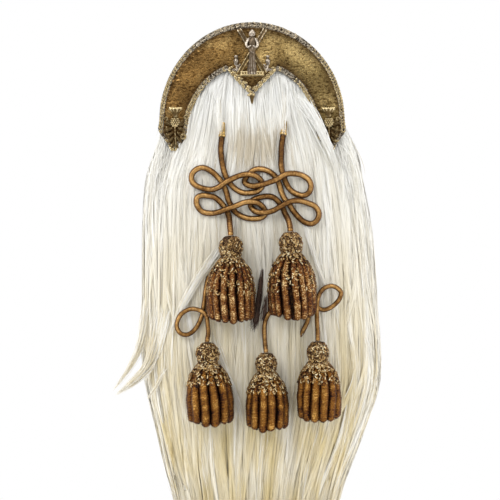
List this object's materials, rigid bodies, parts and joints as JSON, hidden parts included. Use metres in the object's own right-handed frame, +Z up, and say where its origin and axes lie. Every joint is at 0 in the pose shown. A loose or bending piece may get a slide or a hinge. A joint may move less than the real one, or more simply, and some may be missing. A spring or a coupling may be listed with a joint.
{
  "type": "horsehair sporran pouch",
  "caption": "Full-dress sporran: a flat leather pouch under a half-moon metal cantle, long white horsehair, knotted gold cords with bullion tassels, and belt loops on the back",
  "frame": {"origin": "midway between the two belt loops, on the outer face of the leather back", "axes": "+X across to the wearer's left, +Z up along the hair, -Y out of the front of the sporran"},
  "size_m": [0.2726, 0.1118, 0.5439],
  "materials": {
    "black_leather": "satin, grained",
    "antique_brass": "antiqued, hammered field",
    "worn_pewter": "worn silver-coloured plate on brass",
    "bright_brass": "polished",
    "white_horsehair": "long natural hair with a soft sheen",
    "dark_horsehair": "natural dark hair",
    "gold_cord": "metal thread wound round a core",
    "gold_bullion": "coiled metal thread"
  },
  "bodies": {
    "root": {"front_panel": "black_leather", "gusset": "black_leather", "back_panel": "black_leather", "back_flap": "black_leather", "belt_loop_left": "black_leather", "belt_loop_right": "black_leather", "flap_stud": "bright_brass", "cantle": "antique_brass", "thistle_boss_left": "antique_brass", "thistle_boss_right": "antique_brass", "figure_mount": "worn_pewter", "hair": "white_horsehair", "dark_wisp": "dark_horsehair", "ferrule_left": "bright_brass", "ferrule_right": "bright_brass", "cord_left": "gold_cord", "cord_right": "gold_cord", "cord_lower_left": "gold_cord", "cord_lower_middle": "gold_cord", "cord_lower_right": "gold_cord", "tassel_upper_left": "gold_bullion", "tassel_upper_right": "gold_bullion", "tassel_lower_left": "gold_bullion", "tassel_lower_middle": "gold_bullion", "tassel_lower_right": "gold_bullion"}
  },
  "joints": []
}
